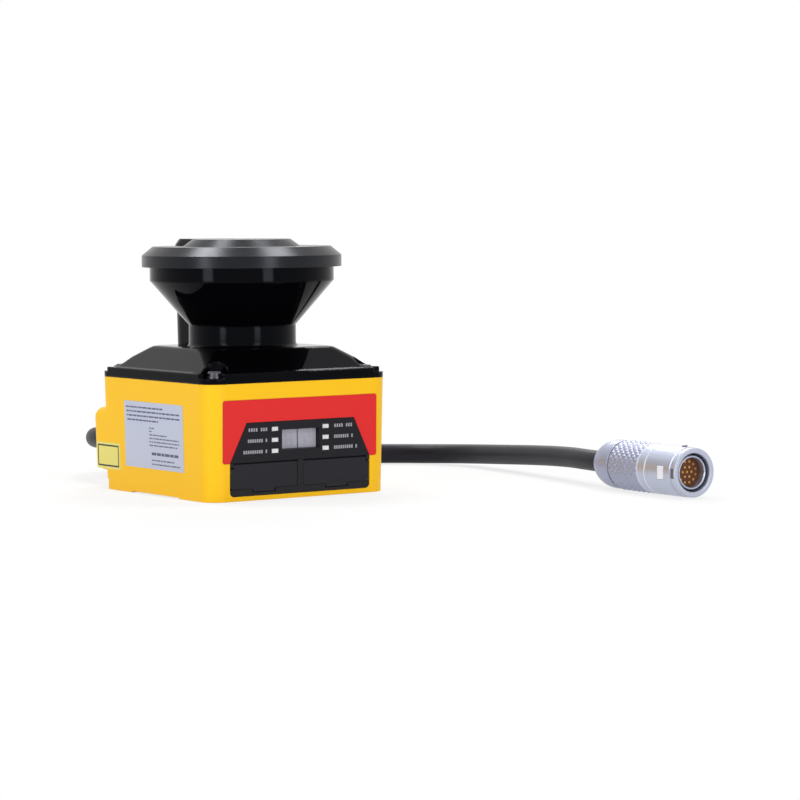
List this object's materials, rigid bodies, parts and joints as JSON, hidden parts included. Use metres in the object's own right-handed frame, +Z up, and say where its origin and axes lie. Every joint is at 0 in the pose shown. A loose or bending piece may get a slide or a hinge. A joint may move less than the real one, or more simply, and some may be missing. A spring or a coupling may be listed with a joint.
{
  "type": "safety laser scanner",
  "caption": "Compact safety laser scanner: square case with display and flip covers, mushroom head over a spinning mirror, short cable with a push-pull plug",
  "frame": {"origin": "centre of the case's foot, in the middle of the four fixing holes", "axes": "+Z up along the mirror's axis, -Y out of the display's face, +X to the right of the display"},
  "size_m": [0.1718, 0.2402, 0.095],
  "materials": {
    "case_yellow": "satin powder coat on a die casting",
    "cap_dark": "satin",
    "window_black": "polished, dark, lets infrared light through",
    "panel_dark": "fine grain",
    "overlay_red": "smooth printed film",
    "lens_dark": "smooth, dark tint",
    "digit_grey": "frosted face",
    "led_clear": "frosted light pipe",
    "cover_dark": "fine grain",
    "port_steel": "plated",
    "port_black": "plain",
    "gasket_black": "matt",
    "board_green": "solder mask",
    "screw_steel": "plated",
    "spacer_brass": "turned",
    "chassis_alloy": "machined",
    "bearing_steel": "ground",
    "stator_steel": "laminated",
    "copper": "enamelled copper wire",
    "magnet_dark": "sintered",
    "encoder_steel": "etched",
    "hub_black": "moulded",
    "mirror_silver": "front silvered",
    "lens_glass": "coated",
    "laser_brass": "turned",
    "ribbon_amber": "film",
    "gland_black": "matt",
    "cable_black": "satin sheath",
    "plug_metal": "satin nickel plate",
    "insert_brown": "moulded",
    "contact_gold": "gold plate"
  },
  "bodies": {
    "scanner": {"case": "case_yellow", "rear_cover": "case_yellow", "rear_cover_screws": "screw_steel", "rear_gasket": "gasket_black", "front_panel": "panel_dark", "front_overlay": "overlay_red", "display_lens": "lens_dark", "digit_display": "digit_grey", "led_lenses": "led_clear", "usb_port": "port_steel", "link_port": "port_black", "display_board": "board_green", "optical_window": "window_black", "window_gasket": "gasket_black", "window_screws": "screw_steel", "rear_column": "window_black", "top_cap": "cap_dark", "cap_gasket": "gasket_black", "power_board": "board_green", "main_board": "board_green", "board_spacers": "spacer_brass", "board_screws": "screw_steel", "rear_connector": "port_black", "memory_board": "board_green", "cable_gland": "gland_black", "gland_nut": "screw_steel", "chassis": "chassis_alloy", "chassis_screws": "screw_steel", "bearings": "bearing_steel", "bearing_spacer": "magnet_dark", "stator": "stator_steel", "windings": "copper", "encoder_sensor": "port_black", "receiver_lens": "lens_glass", "detector_board": "board_green", "head_frame": "chassis_alloy", "laser_module": "laser_brass", "collimator_lens": "lens_glass", "head_board": "board_green", "head_ribbon": "ribbon_amber", "cable": "cable_black", "plug_back_nut": "plug_metal", "plug_shell": "plug_metal", "plug_carrier": "plug_metal", "plug_insert": "insert_brown", "plug_contacts": "contact_gold"},
    "mirror_rotor": {"rotor": "chassis_alloy", "magnet_ring": "magnet_dark", "encoder_disc": "encoder_steel", "mirror_hub": "hub_black", "receive_mirror": "mirror_silver", "emit_mirror": "mirror_silver"},
    "left_cover": {"port_cover_left": "cover_dark"},
    "right_cover": {"port_cover_right": "cover_dark"},
    "plug_sleeve_ring": {"plug_sleeve": "plug_metal"}
  },
  "joints": [
    {"name": "mirror_spin", "type": "hinge", "parent": "scanner", "child": "mirror_rotor", "pos_m": [0, 0, 0], "axis": [0, 0, 1], "continuous": true},
    {"name": "left_cover_hinge", "type": "hinge", "parent": "scanner", "child": "left_cover", "pos_m": [-0.016, -0.0385, 0.01302], "axis": [-1, 0, 0], "range_deg": [0, 90]},
    {"name": "right_cover_hinge", "type": "hinge", "parent": "scanner", "child": "right_cover", "pos_m": [0.016, -0.0385, 0.01302], "axis": [-1, 0, 0], "range_deg": [0, 90]},
    {"name": "sleeve_pull", "type": "slide", "parent": "scanner", "child": "plug_sleeve_ring", "axis": [0.0698, 0.9976, 0], "range_m": [0, 0.0012], "stiffness_N_per_m": 600}
  ]
}
